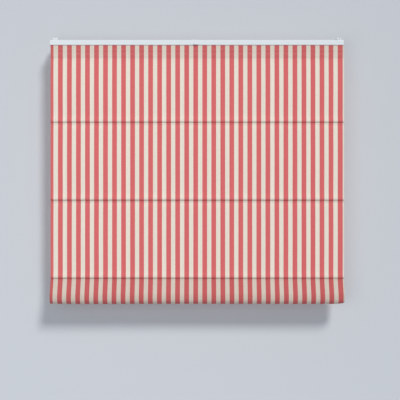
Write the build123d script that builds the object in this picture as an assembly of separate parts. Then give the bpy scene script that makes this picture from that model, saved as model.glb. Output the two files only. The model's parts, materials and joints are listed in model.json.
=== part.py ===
from build123d import *
import math
import os

# Roman blind without a pull cord, hung by two hooks and a bracket. Millimetres.
# X runs along the width, +Y points to the back, so the front is on the -Y side, and +Z is up.
# The origin is on the flat back of the centre bracket, at the level of the head rail's top,
# so Y = 0 is the plane that the blind rests against.

# Driving dimensions: head rail
rail_length = 1000.0
rail_back = -2.0
rail_depth = 28.0
rail_height = 36.0
rail_wall = 1.3
band_height = 17.0
recess_depth = 4.4
rail_mouth = 12.6
cap_thickness = 3.0
cap_plug_length = 6.0

# Driving dimensions: fabric
fabric_width = 997.0
fabric_shift = 1.5
fabric_thickness = 0.8
fabric_reveal = 1.0
heading_height = 32.0
tape_height = 16.0
side_hem_width = 20.0
rod_levels = (-281.0, -546.0, -811.0)
lip_radius = 2.2
stripe_pitch = 30.67
red_width = 15.8
first_whole_red = -471.6
red_count = 32
stripe_skin = 0.15
stripe_wrap = 80.0
flat_clearance = 0.02

# Driving dimensions: last section of the fabric, which hangs in a loop with its hem drawn up behind
lean_angle = 21.0
lean_length = 51.0
belly_radius = 40.0
loop_radius = 20.0
return_angle = 31.5

# Driving dimensions: rods, bottom bar and lift cords
rod_diameter = 5.0
rod_length = 985.0
rod_plane = -17.0
pocket_clearance = 0.25
bar_height = 18.0
bar_thickness = 3.6
bar_length = 985.0
bar_plane = -15.5
cord_diameter = 1.4
eye_radius = 3.4
cord_plane = -8.8
cord_stations = {"left": -380.0, "centre": 0.0, "right": 380.0}

# Driving dimensions: drive inside the rail
shaft_level = -22.0
shaft_width = 5.0
shaft_corner = 0.4
shaft_length = 900.0
spool_core_radius = 5.0
spool_flange_radius = 7.6
eyelet_radius = 1.5
spool_length = 26.0
flange_taper = 1.6
journal_length = 4.0
journal_radius = 4.2
wound_turns = 3
motor_station = 190.0
motor_length = 46.0
motor_cover = 1.4
output_drum_radius = 5.4
storage_drum_radius = 3.2
storage_pin_radius = 1.6
spring_strip = 0.35
storage_level = -9.2
brake_station = -190.0

# Driving dimensions: fixings
hook_stations = {"left": -487.5, "right": 487.5}
hook_width = 19.0
hook_thickness = 2.0
seat_level = 9.0
throat_depth = 18.0
hook_drop = 12.0
hook_shelf = 1.8
rib_offset = 4.8
rib_width = 3.0
rib_height = 1.5
bracket_width = 36.0
bracket_top = 3.0
fork_thickness = 1.5
fork_width = 10.0
bracket_screw_spacing = 22.0
bracket_screw_radius = 2.1
bracket_screw_level = -14.0
latch_pivot = (-9.0, -12.8)
latch_length = 20.4
latch_height = 8.0
latch_thickness = 4.6
latch_gap = 0.3
spindle_radius = 2.0
hook_screw_radius = 1.25
hook_screw_length = 6.0
hook_screw_plane = -9.0

# Places worked out from the driving dimensions
rail_front = rail_back - rail_depth
recess_front = rail_front + recess_depth
fabric_front = rail_front + fabric_reveal
fabric_plane = fabric_front + fabric_thickness / 2
fabric_top = -band_height - 0.6
heading_back = fabric_front + 2 * fabric_thickness
tape_thickness = (recess_front - heading_back) / 2
pocket_radius = rod_diameter / 2 + pocket_clearance + fabric_thickness
clip_radius = pocket_radius + 0.1
cord_radius = cord_diameter / 2
wound_radius = spool_core_radius + cord_radius + 0.05
shaft_plane = cord_plane - wound_radius
fabric_left = fabric_shift - fabric_width / 2
fabric_right = fabric_shift + fabric_width / 2
neck_offset = fabric_thickness / 2 - 0.04
lip_reach = neck_offset + lip_radius
mouth_middle = (rail_back + recess_front) / 2
inner_front = recess_front + rail_wall + 0.2
inner_back = rail_back - rail_wall - 0.2
housing_bottom = -rail_height + 3.4
housing_top = -rail_wall - 0.2
fork_front = rail_front + 4.1
cam_front = fork_front + fork_thickness + 0.2
cam_thickness = 2.0


def along_width(profile, left, right):
    """Solid of a Y-Z profile between two places along the width."""
    return extrude(Plane.YZ.offset(left) * profile, amount=right - left)


def box_between(low, high):
    """Box between two corners."""
    size = [b - a for a, b in zip(low, high)]
    middle = [(a + b) / 2 for a, b in zip(low, high)]
    return Pos(*middle) * Box(*size)


def rod_along_width(radius, plane, level, left, right):
    """Round bar along the width."""
    return along_width(Pos(plane, level) * Circle(radius), left, right)


# Fabric path


def loop_path(start, spread=0.0):
    """Last section from below the third rod: it leans out, curves under and comes up behind to the bar.

    A spread above 0 gives the line on the outer side of the cloth, that far from its middle.
    """
    lean = Vector(-math.sin(math.radians(lean_angle)), -math.cos(math.radians(lean_angle)))
    side = Vector(lean.Y, -lean.X)
    first = Vector(*start) + side * spread
    leg = Line(first, first + lean * lean_length)
    belly = JernArc(leg @ 1, leg % 1, belly_radius + spread, lean_angle)
    under = JernArc(belly @ 1, belly % 1, loop_radius + spread, 180 + return_angle)
    rise = JernArc(under @ 1, under % 1, loop_radius - spread, -return_angle)
    return leg, belly, under, rise


def lip_arc(level, above):
    """Quarter round where the cloth turns back into a rod pocket."""
    if above:
        start = (fabric_plane, level + lip_reach)
        return JernArc(start, (0, -1), lip_radius, 90)
    start = (fabric_plane + lip_radius, level - neck_offset)
    return JernArc(start, (-1, 0), lip_radius, 90)


def pocket_ring(level):
    """Closed round of cloth that holds a rod."""
    ring = Circle(pocket_radius) - Circle(pocket_radius - fabric_thickness)
    return Pos(rod_plane, level) * ring


def fabric_profile():
    """Section of the whole cloth, from the heading to the pocket of the bottom bar."""
    ring_reach = math.sqrt((pocket_radius - fabric_thickness / 2) ** 2 - neck_offset**2)
    neck_end = rod_plane - ring_reach
    profile = Sketch()
    top = fabric_top
    for level in rod_levels:
        upper = lip_arc(level, above=True)
        lower = lip_arc(level, above=False)
        profile += trace(Line((fabric_plane, top), upper @ 0) + upper, fabric_thickness)
        profile += trace(Line(upper @ 1, (neck_end, level + neck_offset)), fabric_thickness)
        profile += pocket_ring(level)
        profile += trace(Line((neck_end, level - neck_offset), lower @ 0), fabric_thickness)
        profile += trace(lower, fabric_thickness)
        top = level - lip_reach
    leg, belly, under, rise = loop_path((fabric_plane, top))
    profile += trace(leg + belly + under + rise, fabric_thickness)
    return profile, rise @ 1


def bar_pocket(bottom):
    """Hem pocket of the bottom bar, standing on the end of the cloth."""
    inner_height = bar_height + 1.0
    inner_width = bar_thickness + 0.6
    outer = RectangleRounded(
        inner_width + 2 * fabric_thickness, inner_height + 2 * fabric_thickness, 1.6
    )
    inner = Rectangle(inner_width, inner_height)
    level = bottom + inner_height / 2 + fabric_thickness / 2
    return Pos(bar_plane, level) * (outer - inner), level


cloth, loop_end = fabric_profile()
hem_pocket, bar_level = bar_pocket(loop_end.Y)
bar_plane_error = loop_end.X - bar_plane
print(f"loop ends {bar_plane_error:.2f} mm from the bar's plane, bar at {bar_level:.1f}")


def fabric_panel():
    """The cloth as one piece, with a doubled heading and doubled side hems."""
    heading_middle = (fabric_plane + heading_back) / 2
    heading = Pos(heading_middle, fabric_top - heading_height / 2) * Rectangle(
        heading_back - fabric_plane, heading_height
    )
    panel = along_width(cloth + heading + hem_pocket, fabric_left, fabric_right)
    top = fabric_top - heading_height
    hem_back = fabric_plane + fabric_thickness * 1.5
    for level in rod_levels:
        bottom = level + lip_reach + 1
        for left in (fabric_left, fabric_right - side_hem_width):
            panel += box_between(
                (left, fabric_plane, bottom), (left + side_hem_width, hem_back, top)
            )
        top = level - lip_reach - 1
    return panel


def flats_round(centre, radius, start_angle, turn, count):
    """Corners of a row of flats that stand on a round of cloth and touch it at their middles."""
    step = math.radians(turn / count)
    reach = (radius + flat_clearance) / math.cos(step / 2)
    angles = [math.radians(start_angle) + step * (n + 0.5) for n in range(count)]
    return [centre + Vector(math.cos(angle), math.sin(angle)) * reach for angle in angles]


def stripe_profiles():
    """Front skin of each section of the cloth, for the red stripes."""
    skin_plane = fabric_front - stripe_skin / 2
    top = fabric_top
    profiles = Sketch()
    for level in rod_levels:
        bottom = level + lip_reach
        profiles += Pos(skin_plane, (top + bottom) / 2) * Rectangle(stripe_skin, top - bottom)
        top = level - lip_reach
    spread = fabric_thickness / 2 + stripe_skin / 2
    leg, belly, under, rise = loop_path((fabric_plane, top), spread)
    front_of_loop = JernArc(belly @ 1, belly % 1, loop_radius + spread, stripe_wrap)
    corners = [
        leg @ 0.01,
        *flats_round(belly.arc_center, belly.radius, 180 - lean_angle, lean_angle, 2),
        *flats_round(front_of_loop.arc_center, front_of_loop.radius, 180, stripe_wrap, 4),
        front_of_loop @ 1,
    ]
    return profiles + trace(Polyline(*corners), stripe_skin)


def red_stripes():
    """Red stripes, as coloured skins on the front of the cloth."""
    profile = stripe_profiles()
    starts = [first_whole_red + n * stripe_pitch for n in range(red_count)]
    stripes = [along_width(profile, start, start + red_width) for start in starts]
    cut_stripe_end = first_whole_red - stripe_pitch + red_width
    stripes.append(along_width(profile, fabric_left, cut_stripe_end))
    return Compound(children=[solid for stripe in stripes for solid in stripe.solids()])


# Head rail


def rail_outline():
    """Outer section of the rail: a full band above, set back below for the tape."""
    corners = [
        (rail_back, 0),
        (rail_front, 0),
        (rail_front, -band_height),
        (recess_front, -band_height),
        (recess_front, -rail_height),
        (rail_back, -rail_height),
    ]
    outline = make_face(Polyline(*corners, close=True))
    outline = fillet([v for v in outline.vertices() if v.X < rail_front + 0.1], 1.4)
    return fillet([v for v in outline.vertices() if v.X > rail_back - 0.1], 0.8)


def head_rail():
    """Aluminium extrusion, open below between two lips, with a fine groove in the front band."""
    outline = rail_outline()
    inside = offset(outline, amount=-rail_wall, kind=Kind.INTERSECTION)
    mouth = Pos(mouth_middle, -rail_height) * Rectangle(rail_mouth, 4)
    groove = Pos(rail_front, -band_height / 2) * Rot(Z=45) * Rectangle(0.7, 0.7)
    section = outline - inside - mouth - groove
    for side in (-1, 1):
        lip_middle = mouth_middle + side * (rail_mouth / 2 + 0.5)
        section += Pos(lip_middle, -rail_height + 1.9) * Rectangle(1, 2.2)
    half = rail_length / 2 - cap_thickness
    rail = along_width(section, -half, half)
    pivot_x, pivot_z = latch_pivot
    rail -= Pos(pivot_x, rail_front, pivot_z) * Rot(X=90) * Cylinder(spindle_radius + 0.1, 8)
    fork_half = fork_width / 2 + 0.4
    rail -= box_between(
        (pivot_x - fork_half, fork_front - 0.3, -4),
        (pivot_x + fork_half, fork_front + fork_thickness + 0.3, 2),
    )
    for x in hook_stations.values():
        rail -= Pos(x, hook_screw_plane, 0) * Cylinder(hook_screw_radius + 0.05, 8)
    return rail


def end_cap(side):
    """Moulded cap: a rounded plate over the rail's end with a thin-walled plug inside it."""
    plate = along_width(rail_outline(), 0, cap_thickness)
    outer_edges = plate.faces().sort_by(Axis.X)[-1].edges()
    plate = chamfer(outer_edges, 0.6)
    plug_outline = offset(rail_outline(), amount=-rail_wall - 0.15, kind=Kind.INTERSECTION)
    plug_inside = offset(plug_outline, amount=-1.2, kind=Kind.INTERSECTION)
    plug = along_width(plug_outline - plug_inside, -cap_plug_length, 0)
    rim = box_between((-40, -60, -rail_height - 1), (0, 10, -rail_height + 4.2))
    cap = Pos(rail_length / 2 - cap_thickness, 0, 0) * (plate + (plug - rim))
    return cap if side > 0 else cap.mirror(Plane.YZ)


def tape(front):
    """One half of the hook-and-loop tape; front is its forward face."""
    low = (fabric_left + 2, front, fabric_top - tape_height)
    high = (fabric_right - 5, front + tape_thickness, fabric_top - 0.4)
    return box_between(low, high)


# Fixings


def sash_hook():
    """Hook over the top edge of the support: a flat leg behind the rail, a seat, a rear leg and two ribs."""
    leg_bottom = -rail_height - hook_shelf
    bridge_top = seat_level + hook_thickness
    rear = throat_depth + hook_thickness
    strip = Polyline(
        (-hook_thickness, leg_bottom),
        (-hook_thickness, bridge_top),
        (rear, bridge_top),
        (rear, seat_level - hook_drop),
        (throat_depth, seat_level - hook_drop),
        (throat_depth, seat_level),
        (0, seat_level),
        (0, leg_bottom),
        close=True,
    )
    strip = make_face(strip)
    outer = [v for v in strip.vertices() if v.Y > bridge_top - 0.1]
    strip = chamfer(outer, 1.2)
    half = hook_width / 2
    hook = along_width(strip, -half, half)
    shelf = box_between((-half, -14, 0), (half, -hook_thickness, hook_shelf))
    toe = box_between((-half, -8.2, leg_bottom), (half, -hook_thickness, -rail_height))
    hook += shelf + toe
    taper = Plane.XZ * make_face(
        Polyline((-half, 0), (half, 0), (half - 2, bridge_top + 4), (2 - half, bridge_top + 4), close=True)
    )
    keep = extrude(taper, amount=60, both=True)
    low_part = box_between((-half, -60, -60), (half, 60, 0))
    hook = hook & (keep + low_part)
    rib_top = bridge_top + rib_height
    rib_profile = make_face(
        Polyline(
            (-13, 1.7), (-9, 6.7), (-3.4, rib_top), (rear - 2, rib_top),
            (rear - 1, bridge_top - 0.5), (-1.2, bridge_top - 0.5), (-1.2, 1.7), close=True,
        )
    )
    for x in (-rib_offset, rib_offset):
        hook += along_width(rib_profile, x - rib_width / 2, x + rib_width / 2)
    return hook - Pos(0, hook_screw_plane, 0) * Cylinder(hook_screw_radius + 0.3, 8)


def hook_screw():
    """Small hexagon-head screw that holds the rail up against the hook's shelf."""
    head = Pos(0, 0, hook_shelf) * extrude(RegularPolygon(2.4, 6, major_radius=False), amount=1.6)
    shank = extrude(RegularPolygon(hook_screw_radius, 12), amount=-hook_screw_length)
    return head + Pos(0, 0, hook_shelf) * shank


def centre_bracket():
    """Flat bracket behind the middle of the rail: a shelf over the rail, a toe under it and a fork.

    The fork drops through the rail's top and straddles the latch's spindle.
    """
    half = bracket_width / 2
    toe_bottom = -rail_height - 1.6
    plate = box_between((-half, -hook_thickness, toe_bottom), (half, 0, bracket_top))
    plate = chamfer(plate.edges().filter_by(Axis.Y), 2.4)
    toe = box_between((-12, -7.5, toe_bottom), (12, -hook_thickness, -rail_height))
    pivot_x, pivot_z = latch_pivot
    fork_left, fork_right = pivot_x - fork_width / 2, pivot_x + fork_width / 2
    fork_back = fork_front + fork_thickness
    shelf_outline = Polyline(
        (-half + 3, -hook_thickness), (fork_left, -14), (fork_left, fork_front),
        (fork_right, fork_front), (fork_right, -14), (half - 3, -hook_thickness), close=True,
    )
    shelf = extrude(make_face(shelf_outline), amount=1.6)
    fork = box_between((fork_left, fork_front, pivot_z - 2.6), (fork_right, fork_back, 1.6))
    throat = box_between(
        (pivot_x - spindle_radius - 0.1, fork_front - 1, pivot_z - 4),
        (pivot_x + spindle_radius + 0.1, fork_back + 1, pivot_z),
    )
    throat += Pos(pivot_x, fork_front, pivot_z) * Rot(X=90) * Cylinder(spindle_radius + 0.1, 6)
    bracket = plate + toe + shelf + (fork - throat)
    for x in (-bracket_screw_spacing / 2, bracket_screw_spacing / 2):
        bracket -= Pos(x, -1, bracket_screw_level) * Rot(X=90) * Cylinder(bracket_screw_radius, 6)
    return bracket


def swivel_latch():
    """Front lever that turns a quarter, with its spindle moulded on."""
    pivot_x, pivot_z = latch_pivot
    back = rail_front - latch_gap
    nose = pivot_x - 4.0
    middle = nose + latch_length / 2
    half_height = latch_height / 2
    lens = make_face(
        ThreePointArc((nose, 0), (middle, half_height), (nose + latch_length, 0))
        + ThreePointArc((nose + latch_length, 0), (middle, -half_height), (nose, 0))
    )
    lens = fillet(lens.vertices(), 1.5)
    plane = Plane((0, back, pivot_z), x_dir=(1, 0, 0), z_dir=(0, -1, 0))
    lever = extrude(plane * lens, amount=latch_thickness)
    lever = chamfer(lever.faces().sort_by(Axis.Y)[0].edges(), 0.7)
    spindle_length = cam_front + cam_thickness - back
    spindle = Pos(pivot_x, back, pivot_z) * Rot(X=-90) * Cylinder(
        spindle_radius, spindle_length, align=(Align.CENTER, Align.CENTER, Align.MIN)
    )
    return lever + spindle


def latch_cam():
    """Cam on the inner end of the latch's spindle; its nose holds the fork until it is turned down."""
    pivot_x, pivot_z = latch_pivot
    disc = extrude(RegularPolygon(spindle_radius + 1.4, 16), amount=cam_thickness)
    nose = Box(6.0, 3.0, cam_thickness, align=(Align.MIN, Align.CENTER, Align.MIN))
    bore = Cylinder(spindle_radius + 0.02, 6)
    return Pos(pivot_x, cam_front, pivot_z) * Rot(X=-90) * (disc + nose - bore)


# Drive


def square_shaft():
    """Square steel shaft with broken corners."""
    section = Pos(shaft_plane, shaft_level) * Rectangle(shaft_width, shaft_width)
    section = chamfer(section.vertices(), shaft_corner)
    return along_width(section, -shaft_length / 2, shaft_length / 2)


def shaft_hole(length):
    """Square through-hole for the shaft, about the origin along X."""
    return Box(length, shaft_width + 0.1, shaft_width + 0.1)


def at_shaft(x):
    """Place on the shaft's axis."""
    return Pos(x, shaft_plane, shaft_level)


def lift_spool(x):
    """Cord spool: a core between two flanges, with a journal at each end."""
    half = spool_length / 2
    core = RegularPolygon(spool_core_radius, 12)
    rim = RegularPolygon(spool_flange_radius, 12)
    spool = along_width(core, -half, half) + drum(spool_length + 2 * journal_length, journal_radius)
    for side in (-1, 1):
        root_plane = Plane.YZ.offset(side * (half - flange_taper))
        spool += loft([root_plane * core, Plane.YZ.offset(side * half) * rim])
    return at_shaft(x) * (spool - shaft_hole(spool_length + 20))


def spool_cradle(x):
    """Trough that carries a spool in the rail, with a bearing at each end and a cord eyelet below."""
    half = spool_length / 2 + 4.4
    top = shaft_level + 2.0
    shell = box_between((-half, inner_front, housing_bottom), (half, inner_back, top))
    bay = box_between(
        (-half + 3.6, inner_front + 1.1, housing_bottom + 1.2),
        (half - 3.6, inner_back - 1.1, top + 1),
    )
    foot_half = rail_mouth / 2 - 0.3
    foot = box_between(
        (-half + 3, mouth_middle - foot_half, -rail_height + 0.3),
        (half - 3, mouth_middle + foot_half, housing_bottom + 0.2),
    )
    bearing = Pos(0, shaft_plane, shaft_level) * drum(60, journal_radius + 0.15)
    eyelet = extrude(RegularPolygon(eyelet_radius, 8, major_radius=False), amount=6, both=True)
    eyelet = Pos(0, cord_plane, -rail_height) * eyelet
    return Pos(x, 0, 0) * (shell - bay + foot - bearing - eyelet)


def spring_housing():
    """Open-ended housing of the spring motor, with a pin for the storage drum."""
    half = motor_length / 2
    end = half - motor_cover
    shell = box_between((-half, inner_front, housing_bottom), (end, inner_back, housing_top))
    bay = box_between(
        (-half + motor_cover, inner_front + 1.1, housing_bottom + 1.1),
        (half, inner_back - 1.1, housing_top - 1.1),
    )
    hub_hole = Pos(0, shaft_plane, shaft_level) * drum(80, journal_radius + 0.15)
    pin = rod_along_width(storage_pin_radius, shaft_plane, storage_level, -half + 1, end)
    return Pos(motor_station, 0, 0) * (shell - bay - hub_hole + pin)


def spring_cover():
    """Snap-on end cover of the spring motor."""
    half = motor_length / 2
    plate = box_between(
        (half - motor_cover, inner_front, housing_bottom), (half, inner_back, housing_top)
    )
    hub_hole = Pos(0, shaft_plane, shaft_level) * drum(80, journal_radius + 0.15)
    return Pos(motor_station, 0, 0) * (plate - hub_hole)


def sixteen_sided(radius):
    """Outline of turned spring round a drum; the radius is to the middle of its flats."""
    return RegularPolygon(radius, 16, major_radius=False)


def drum(length, radius):
    """Plain spring drum along X about the origin."""
    return Rot(Y=90) * Cylinder(radius, length)


def output_drum():
    """Drum on the shaft that the spring winds onto, with a journal at each end."""
    half = motor_length / 2 - 3
    body = along_width(RegularPolygon(output_drum_radius, 16), -half, half)
    body += drum(motor_length - 0.4, journal_radius)
    return at_shaft(motor_station) * (body - shaft_hole(motor_length + 10))


def storage_drum():
    """Free drum that stores the spring."""
    half = motor_length / 2 - 3
    body = along_width(RegularPolygon(storage_drum_radius, 16), -half, half)
    body -= drum(motor_length, storage_pin_radius + 0.1)
    return Pos(motor_station, shaft_plane, storage_level) * body


def flat_spring():
    """Steel strip: turns stored on the free drum, crossing over to the turns on the output drum."""
    half = motor_length / 2 - 4
    stored_outer = storage_drum_radius + 1.7
    wound_outer = output_drum_radius + 1.5
    stored = sixteen_sided(stored_outer) - sixteen_sided(storage_drum_radius + 0.25)
    wound = sixteen_sided(wound_outer) - sixteen_sided(output_drum_radius + 0.25)
    bridge = Line(
        (stored_outer - spring_strip / 2, storage_level), (wound_outer - spring_strip / 2, shaft_level)
    )
    section = Pos(0, storage_level) * stored + Pos(0, shaft_level) * wound
    section += trace(bridge, spring_strip)
    return along_width(Pos(shaft_plane, 0) * section, motor_station - half, motor_station + half)


def brake_housing():
    """Small block in the rail that holds the friction brake."""
    block = box_between((-9, inner_front, housing_bottom), (9, inner_back, shaft_level + 9))
    block = chamfer(block.edges().filter_by(Axis.X).group_by(Axis.Z)[-1], 2.4)
    bore = drum(40, 6.3)
    return Pos(brake_station, 0, 0) * (block - Pos(0, shaft_plane, shaft_level) * bore)


def brake_hub():
    """Friction hub of the brake, fixed on the shaft, with a rim at each side of the block."""
    hub = drum(20, 6.1) + along_width(RegularPolygon(7.4, 16), -10.5, -9.3)
    return at_shaft(brake_station) * (hub - shaft_hole(40))


# Rods, rings and bottom bar


def cord_eye(root, level):
    """Flat tongue from root to round the lift cord, with clipped corners and a hole for the cord."""
    tip = cord_plane + eye_radius
    outline = make_face(
        Polyline(
            (-2.2, root), (-eye_radius, root + 2), (-eye_radius, tip - 1.8), (-1.6, tip),
            (1.6, tip), (eye_radius, tip - 1.8), (eye_radius, root + 2), (2.2, root), close=True,
        )
    )
    tongue = outline - Pos(0, cord_plane) * RegularPolygon(eye_radius - 1.7, 8, major_radius=False)
    return Pos(0, 0, level - 1) * extrude(tongue, amount=2)


def lift_ring(x, level):
    """Clip on a rod pocket with an eye behind it for the lift cord."""
    width = 8.0
    wall = 1.4
    outer = RegularPolygon(clip_radius + wall, 8, major_radius=False)
    inner = RegularPolygon(clip_radius, 8, major_radius=False)
    opening = Pos(-clip_radius - 1, 0) * Rectangle(6, 6.4)
    grip = Rot(Z=22.5) * (outer - inner) - opening
    grip = along_width(Pos(rod_plane, level) * grip, -width / 2, width / 2)
    return Pos(x, 0, 0) * (grip + cord_eye(rod_plane + clip_radius + 0.6, level))


def bar_section():
    """Flat section of the bottom bar, with broken corners."""
    bar = Pos(bar_plane, bar_level) * Rectangle(bar_thickness, bar_height)
    return chamfer(bar.vertices(), 0.8)


def bottom_bar():
    """Flat aluminium bar."""
    half = bar_length / 2
    return along_width(bar_section(), fabric_shift - half, fabric_shift + half)


def bar_cap(side):
    """Soft plastic cap on the end of the bottom bar."""
    cap = along_width(bar_section(), 0, 3.5)
    cap = chamfer(cap.faces().sort_by(Axis.X)[-1].edges(), 0.7)
    place = fabric_shift + side * bar_length / 2
    return Pos(place, 0, 0) * (cap if side > 0 else cap.mirror(Plane.YZ))


def bar_ring(x):
    """Clip over the top of the hem pocket with an eye for the end of the lift cord."""
    width = 9.0
    wall = 1.2
    pocket_half = bar_thickness / 2 + 0.3 + fabric_thickness + 0.1
    pocket_top = bar_level + bar_height / 2 + 0.5 + fabric_thickness + 0.1
    depth = 13.0
    outer = box_between(
        (-width / 2, bar_plane - pocket_half - wall, pocket_top - depth),
        (width / 2, bar_plane + pocket_half + wall, pocket_top + wall),
    )
    outer = chamfer(outer.edges().filter_by(Axis.X).group_by(Axis.Z)[-1], 0.8)
    inner = box_between(
        (-width, bar_plane - pocket_half, pocket_top - depth - 1),
        (width, bar_plane + pocket_half, pocket_top),
    )
    eye_level = pocket_top - 5
    return Pos(x, 0, 0) * (outer - inner + cord_eye(bar_plane + pocket_half + wall / 2, eye_level))


cord_stop_top = bar_level + bar_height / 2 - 5.0


def cord_stop(x):
    """Eight-sided tapered bead that holds the end of the lift cord under its eye."""
    top = RegularPolygon(2.2, 8, major_radius=False)
    bottom = Pos(0, 0, -9) * RegularPolygon(1.5, 8, major_radius=False)
    bore = extrude(RegularPolygon(cord_radius + 0.05, 8, major_radius=False), amount=12, both=True)
    bead = loft([bottom, top]) - bore
    return Pos(x, cord_plane, cord_stop_top) * bead


def lift_cord(x):
    """Lift cord: its last turns lie side by side on the spool, and it runs straight down to its stop."""
    end = cord_stop_top - 11
    run = shaft_level - end
    straight = Pos(x, cord_plane, end) * extrude(RegularPolygon(cord_radius, 8), amount=run)
    turns_width = wound_turns * cord_diameter
    outer = RegularPolygon(wound_radius + cord_radius, 12, major_radius=False)
    ring = outer - RegularPolygon(spool_core_radius + 0.05, 12, major_radius=False)
    turns = Pos(shaft_plane, shaft_level) * ring
    return straight + along_width(turns, x - turns_width, x)


# Write one file for each piece

os.makedirs("parts", exist_ok=True)


def write(shape, name):
    """Save one piece under its own name."""
    export_step(shape, f"parts/{name}.step")


write(head_rail(), "head_rail")
write(end_cap(-1), "end_cap_left")
write(end_cap(1), "end_cap_right")
write(tape(recess_front - tape_thickness), "hook_tape")
write(tape(recess_front - 2 * tape_thickness), "loop_tape")
write(fabric_panel(), "fabric_panel")
write(red_stripes(), "fabric_red_stripes")
for side, x in hook_stations.items():
    write(Pos(x, 0, 0) * sash_hook(), f"sash_hook_{side}")
    write(Pos(x, hook_screw_plane, 0) * hook_screw(), f"hook_screw_{side}")
write(centre_bracket(), "centre_bracket")
write(swivel_latch(), "swivel_latch")
write(latch_cam(), "latch_cam")
write(square_shaft(), "drive_shaft")
for side, x in cord_stations.items():
    write(lift_spool(x), f"lift_spool_{side}")
    write(spool_cradle(x), f"spool_cradle_{side}")
    write(lift_cord(x), f"lift_cord_{side}")
    write(bar_ring(x), f"bar_ring_{side}")
    write(cord_stop(x), f"cord_stop_{side}")
write(spring_housing(), "spring_housing")
write(spring_cover(), "spring_cover")
write(output_drum(), "output_drum")
write(storage_drum(), "storage_drum")
write(flat_spring(), "flat_spring")
write(brake_housing(), "brake_housing")
write(brake_hub(), "brake_hub")
for number, level in enumerate(rod_levels, start=1):
    half = rod_length / 2
    rod = rod_along_width(rod_diameter / 2, rod_plane, level, fabric_shift - half, fabric_shift + half)
    write(rod, f"fold_rod_{number}")
    for side, x in cord_stations.items():
        write(lift_ring(x, level), f"lift_ring_{number}_{side}")
write(bottom_bar(), "bottom_bar")
write(bar_cap(-1), "bar_cap_left")
write(bar_cap(1), "bar_cap_right")
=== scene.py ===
# %% [markdown]
# # A striped roman blind, dressed piece by piece
# The real object is a slim white head rail with one piece of striped cotton hanging from it. Three tucks
# hold stiff rods behind the cloth, and the last section hangs in a loop, because its hem is drawn up
# behind. The construction is finished: this lesson gives each hard part its finish, and sews the cloth, the
# thread and the cords as new meshes.

# %% Load the construction
import json
import math

import bmesh
import bpy
import numpy as np
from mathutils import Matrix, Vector


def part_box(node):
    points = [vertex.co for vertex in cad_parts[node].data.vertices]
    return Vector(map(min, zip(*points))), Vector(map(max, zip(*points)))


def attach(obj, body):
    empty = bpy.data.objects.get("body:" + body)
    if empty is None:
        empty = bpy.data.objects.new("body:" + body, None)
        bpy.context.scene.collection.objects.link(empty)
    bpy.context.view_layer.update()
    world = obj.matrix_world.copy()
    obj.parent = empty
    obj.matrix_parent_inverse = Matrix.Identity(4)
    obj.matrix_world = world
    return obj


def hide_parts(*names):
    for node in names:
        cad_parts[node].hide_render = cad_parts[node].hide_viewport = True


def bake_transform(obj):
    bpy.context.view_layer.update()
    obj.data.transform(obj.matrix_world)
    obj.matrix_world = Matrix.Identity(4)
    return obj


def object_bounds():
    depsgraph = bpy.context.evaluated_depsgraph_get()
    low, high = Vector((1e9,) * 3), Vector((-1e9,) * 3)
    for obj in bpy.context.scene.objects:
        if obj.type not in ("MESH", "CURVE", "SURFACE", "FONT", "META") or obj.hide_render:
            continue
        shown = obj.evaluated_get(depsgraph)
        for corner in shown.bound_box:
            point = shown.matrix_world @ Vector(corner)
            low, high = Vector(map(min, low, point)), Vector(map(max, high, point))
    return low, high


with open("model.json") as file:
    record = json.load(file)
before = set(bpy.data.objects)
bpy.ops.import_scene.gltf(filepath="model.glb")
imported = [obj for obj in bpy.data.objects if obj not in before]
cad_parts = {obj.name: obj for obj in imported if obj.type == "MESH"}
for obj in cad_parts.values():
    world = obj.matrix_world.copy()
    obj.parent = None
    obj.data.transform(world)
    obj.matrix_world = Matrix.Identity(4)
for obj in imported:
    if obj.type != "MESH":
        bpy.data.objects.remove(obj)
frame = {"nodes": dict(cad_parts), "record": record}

cad_low, cad_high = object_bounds()
scene = bpy.context.scene
record = frame["record"]
print("construction box:", [round(v, 4) for v in (*cad_low, *cad_high)])

# %% [markdown]
# ## The camera
# The photograph was taken square on, from a little below the blind's middle and a little to its right. One
# pixel of it is 3.4 mm on the front of the rail. The lens could be found by trial, but it follows from that
# and the distance.

# %% Place the camera
mm = 0.001
picture_size = 400
pixel_on_rail = 3.4 * mm
view_distance = 3.0
rail_left_pixel = 49.7
rail_right_pixel = 343.9
rail_top_pixel = 39.9
rail_middle_pixel = (rail_left_pixel + rail_right_pixel) / 2
rail_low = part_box("head_rail")[0]

camera_data = bpy.data.cameras.new("camera")
camera = bpy.data.objects.new("camera", camera_data)
scene.collection.objects.link(camera)
camera_data.sensor_width = 36
camera_data.lens = camera_data.sensor_width * view_distance / (pixel_on_rail * picture_size)
camera_data.clip_start = 0.05
camera.location = (
    (picture_size / 2 - rail_middle_pixel) * pixel_on_rail,
    rail_low.y - view_distance,
    (rail_top_pixel - picture_size / 2) * pixel_on_rail,
)
camera.rotation_euler = (math.radians(90), 0, 0)
scene.camera = camera
scene.view_settings.view_transform = "Standard"
print("lens", round(camera_data.lens, 1), "mm, camera at", [round(v, 3) for v in camera.location])

# %% [markdown]
# ## Working with nodes
# Paint, light and finishes are built from nodes. They could be written out one by one, but these helpers
# keep the code short. An effect that several finishes share is a group with named values: it gives out
# masks, shades and heights, and the shader stays in the material.

# %% Helpers for nodes


def feed(tree, socket, value):
    """Give a socket a number, or link it to another socket."""
    if isinstance(value, bpy.types.NodeSocket):
        tree.links.new(value, socket)
    else:
        socket.default_value = value


def feed_all(tree, node, **values):
    """Feed a node's sockets by name, with _ for a space."""
    for label, value in values.items():
        feed(tree, node.inputs[label.replace("_", " ")], value)


def add_node(tree, kind, **values):
    """A new shader node, fed by name."""
    node = tree.nodes.new("ShaderNode" + kind)
    feed_all(tree, node, **values)
    return node


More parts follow.
